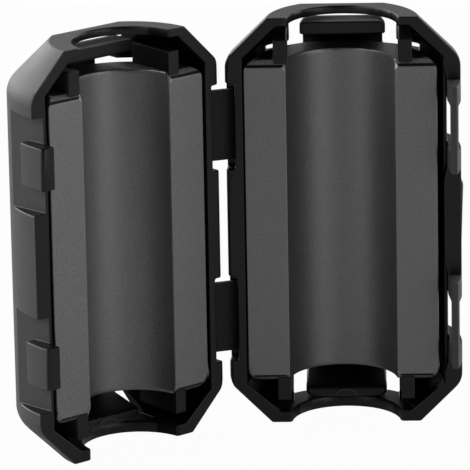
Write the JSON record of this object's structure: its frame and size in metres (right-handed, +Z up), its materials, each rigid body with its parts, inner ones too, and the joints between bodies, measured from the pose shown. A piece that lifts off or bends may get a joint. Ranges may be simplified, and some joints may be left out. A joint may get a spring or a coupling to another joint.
{
  "type": "clip on ferrite bead",
  "caption": "Split ferrite sleeve in a hinged plastic case, standing open: it snaps shut round a cable to damp radio noise.",
  "frame": {"origin": "cable axis of the latch half, in the plane of its lower end", "axes": "+Z up along the cable, +X from the hinge side of the latch half to its latches, +Y into the latch half, away from its open face"},
  "size_m": [0.0371, 0.0235, 0.035],
  "materials": {
    "case": "fine matte moulded nylon",
    "film_hinge": "thin moulded nylon, worked along its folds",
    "ferrite": "sintered ferrite, faintly speckled"
  },
  "bodies": {
    "latch_half": {"latch_shell": "case", "latch_core": "ferrite"},
    "hinge_straps": {"hinge_strap_upper": "film_hinge", "hinge_strap_lower": "film_hinge"},
    "catch_half": {"catch_shell": "case", "catch_core": "ferrite"},
    "upper_loop": {"latch_loop_upper": "case"},
    "lower_loop": {"latch_loop_lower": "case"}
  },
  "joints": [
    {"name": "strap_fold", "type": "hinge", "parent": "latch_half", "child": "hinge_straps", "pos_m": [-0.0092, 0.0011, 0.0175], "axis": [0, 0, 1], "range_deg": [-20.5, 69.5]},
    {"name": "catch_fold", "type": "hinge", "parent": "hinge_straps", "child": "catch_half", "pos_m": [-0.01135, 0.00029, 0.0175], "axis": [0, 0, 1], "range_deg": [-20.5, 69.5]},
    {"name": "upper_loop_flex", "type": "hinge", "parent": "latch_half", "child": "upper_loop", "pos_m": [0.00975, 0, 0.0259], "axis": [0, 0, 1], "range_deg": [0, 24], "stiffness_Nm_per_rad": 0.01},
    {"name": "lower_loop_flex", "type": "hinge", "parent": "latch_half", "child": "lower_loop", "pos_m": [0.00975, 0, 0.0091], "axis": [0, 0, 1], "range_deg": [0, 24], "stiffness_Nm_per_rad": 0.01}
  ],
  "couplings": [
    {"joint": "catch_fold", "follows": "strap_fold", "ratio": 1}
  ]
}
